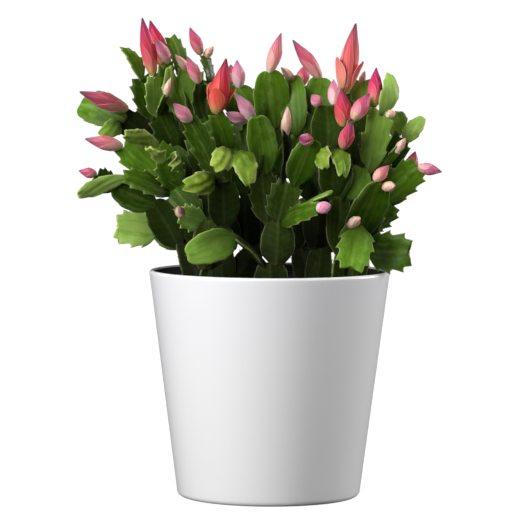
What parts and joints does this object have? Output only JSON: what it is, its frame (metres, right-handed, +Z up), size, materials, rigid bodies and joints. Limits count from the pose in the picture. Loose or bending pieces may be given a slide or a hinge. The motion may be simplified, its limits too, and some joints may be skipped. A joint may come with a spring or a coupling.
{
  "type": "potted christmas cactus",
  "caption": "Christmas cactus in bud: forking chains of flat toothed segments that end in pink buds, in a black nursery pot inside a tapered white cover pot.",
  "frame": {"origin": "middle of the cover pot's flat underside", "axes": "+Z up, -Y towards the viewer of the picture, +X to the right"},
  "size_m": [0.216, 0.1615, 0.2825],
  "materials": {
    "cover_pot": "satin",
    "nursery_pot": "satin",
    "potting_mix": "matte",
    "green_cactus": "satin",
    "pink_bud": "satin"
  },
  "bodies": {
    "root": {"cover_pot": "cover_pot", "nursery_pot": "nursery_pot", "potting_mix": "potting_mix", "back_left_cutting": "green_cactus", "back_right_cutting": "green_cactus", "front_cutting": "green_cactus", "left_cutting": "green_cactus", "right_cutting": "green_cactus", "back_left_bud_1": "pink_bud", "back_left_bud_2": "pink_bud", "back_left_bud_3": "pink_bud", "back_left_bud_4": "pink_bud", "back_left_bud_5": "pink_bud", "back_left_bud_6": "pink_bud", "back_left_bud_7": "pink_bud", "back_left_bud_8": "pink_bud", "back_left_bud_9": "pink_bud", "back_right_bud_1": "pink_bud", "back_right_bud_2": "pink_bud", "back_right_bud_3": "pink_bud", "back_right_bud_4": "pink_bud", "back_right_bud_5": "pink_bud", "back_right_bud_6": "pink_bud", "back_right_bud_7": "pink_bud", "front_bud_1": "pink_bud", "front_bud_2": "pink_bud", "front_bud_3": "pink_bud", "front_bud_4": "pink_bud", "front_bud_5": "pink_bud", "front_bud_6": "pink_bud", "front_bud_7": "pink_bud", "left_bud_1": "pink_bud", "left_bud_10": "pink_bud", "left_bud_2": "pink_bud", "left_bud_3": "pink_bud", "left_bud_4": "pink_bud", "left_bud_5": "pink_bud", "left_bud_6": "pink_bud", "left_bud_7": "pink_bud", "left_bud_8": "pink_bud", "left_bud_9": "pink_bud", "right_bud_1": "pink_bud", "right_bud_2": "pink_bud", "right_bud_3": "pink_bud", "right_bud_4": "pink_bud", "right_bud_5": "pink_bud", "right_bud_6": "pink_bud", "right_bud_7": "pink_bud", "right_bud_8": "pink_bud", "right_bud_9": "pink_bud"}
  },
  "joints": []
}
